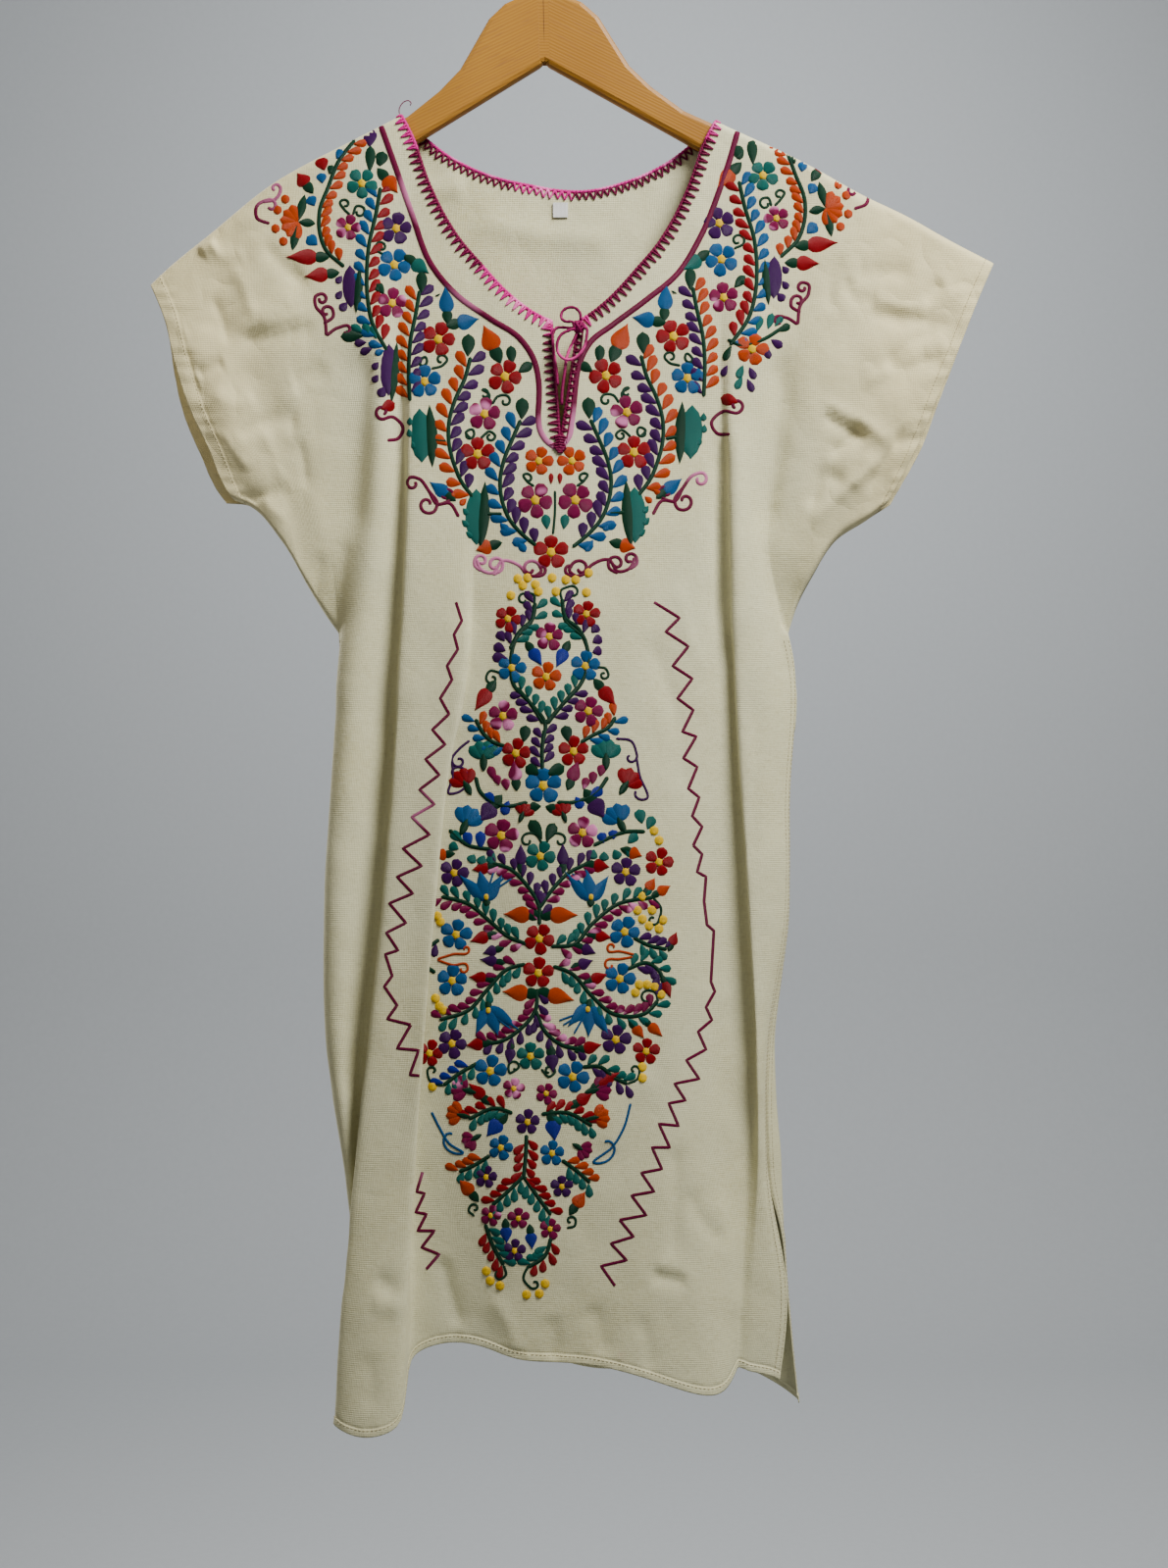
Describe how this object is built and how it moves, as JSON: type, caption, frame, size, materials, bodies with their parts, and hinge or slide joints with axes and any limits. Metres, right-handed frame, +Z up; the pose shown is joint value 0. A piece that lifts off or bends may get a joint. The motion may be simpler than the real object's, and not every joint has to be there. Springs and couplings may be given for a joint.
{
  "type": "embroidered tunic dress on a hanger",
  "caption": "Cap-sleeved cotton tunic dress with side slits, floral embroidery and a crochet-edged slit neck, hung flat on a wooden hanger.",
  "frame": {"origin": "inside top of the hanger hook's crook, where a rail carries it", "axes": "+Z up, +X to the dress's left arm as worn (to the right in a front view), -Y towards the front of the dress"},
  "size_m": [0.677, 0.0727, 1.2047],
  "materials": {
    "cotton": "matt unbleached plain weave",
    "crochet": "soft magenta thread",
    "tag": "white woven tape",
    "wood": "clear satin varnish",
    "hook": "bright plated wire"
  },
  "bodies": {
    "root": {"front": "cotton", "back": "cotton", "neck_edging_left": "crochet", "neck_edging_right": "crochet", "neck_edging_back": "crochet", "placket_bar": "crochet", "neck_tag": "tag", "tie_knot": "crochet", "tie_ring": "crochet", "tie_loop": "crochet", "tie_tail_left": "crochet", "tie_tail_right": "crochet", "hanger_left": "wood", "hanger_right": "wood", "hanger_hook": "hook"}
  },
  "joints": []
}
